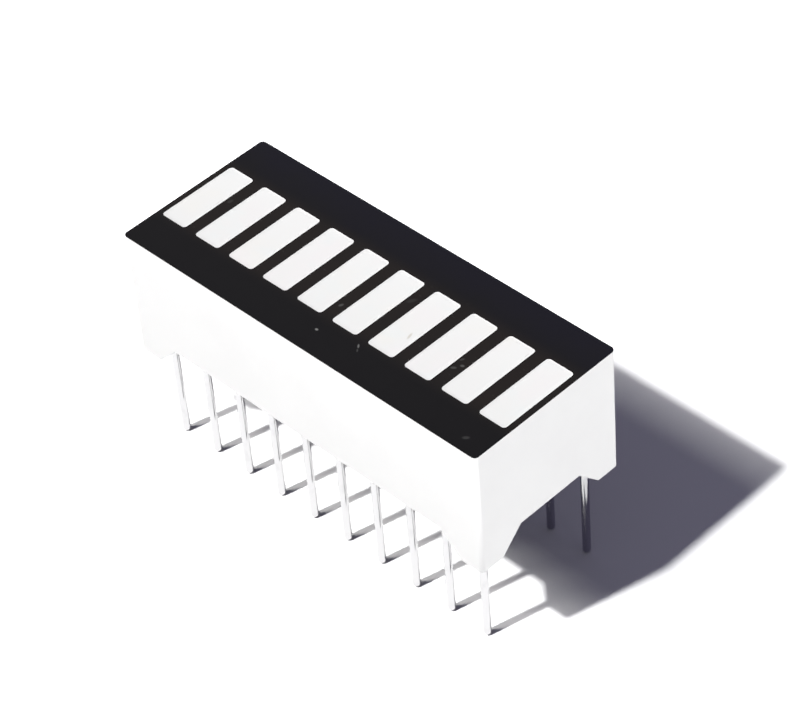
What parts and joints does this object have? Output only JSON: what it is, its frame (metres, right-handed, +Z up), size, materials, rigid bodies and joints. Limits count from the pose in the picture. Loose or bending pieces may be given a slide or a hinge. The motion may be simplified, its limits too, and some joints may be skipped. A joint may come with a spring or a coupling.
{
  "type": "led bar graph",
  "caption": "Row of lit bars in a black-faced white plastic block, with two rows of straight pins to plug into a socket or board.",
  "frame": {"origin": "middle of the pin grid, in the plane of the four feet, which is the top of the board it is fitted on", "axes": "+X along the row of bars, +Y across the row, +Z up through the black face; the pins point along -Z"},
  "size_m": [0.0252, 0.01, 0.0144],
  "materials": {
    "housing_white": "moulded satin white",
    "face_black": "printed satin black",
    "bar_milky": "cast milky resin, satin",
    "chip_crystal": "sawn crystal",
    "wire_gold": "drawn gold wire",
    "board_laminate": "glass-fibre laminate",
    "potting_resin": "poured resin, smooth",
    "solder": "bright solder",
    "pin_tinned": "tinned wire"
  },
  "bodies": {
    "root": {"housing": "housing_white", "black_face": "face_black", "circuit_board": "board_laminate", "potting": "potting_resin", "solder_joints": "solder", "light_bar_01": "bar_milky", "led_chip_01": "chip_crystal", "bond_wire_01": "wire_gold", "light_bar_02": "bar_milky", "led_chip_02": "chip_crystal", "bond_wire_02": "wire_gold", "light_bar_03": "bar_milky", "led_chip_03": "chip_crystal", "bond_wire_03": "wire_gold", "light_bar_04": "bar_milky", "led_chip_04": "chip_crystal", "bond_wire_04": "wire_gold", "light_bar_05": "bar_milky", "led_chip_05": "chip_crystal", "bond_wire_05": "wire_gold", "light_bar_06": "bar_milky", "led_chip_06": "chip_crystal", "bond_wire_06": "wire_gold", "light_bar_07": "bar_milky", "led_chip_07": "chip_crystal", "bond_wire_07": "wire_gold", "light_bar_08": "bar_milky", "led_chip_08": "chip_crystal", "bond_wire_08": "wire_gold", "light_bar_09": "bar_milky", "led_chip_09": "chip_crystal", "bond_wire_09": "wire_gold", "light_bar_10": "bar_milky", "led_chip_10": "chip_crystal", "bond_wire_10": "wire_gold", "pin_01": "pin_tinned", "pin_02": "pin_tinned", "pin_03": "pin_tinned", "pin_04": "pin_tinned", "pin_05": "pin_tinned", "pin_06": "pin_tinned", "pin_07": "pin_tinned", "pin_08": "pin_tinned", "pin_09": "pin_tinned", "pin_10": "pin_tinned", "pin_11": "pin_tinned", "pin_12": "pin_tinned", "pin_13": "pin_tinned", "pin_14": "pin_tinned", "pin_15": "pin_tinned", "pin_16": "pin_tinned", "pin_17": "pin_tinned", "pin_18": "pin_tinned", "pin_19": "pin_tinned", "pin_20": "pin_tinned"}
  },
  "joints": []
}
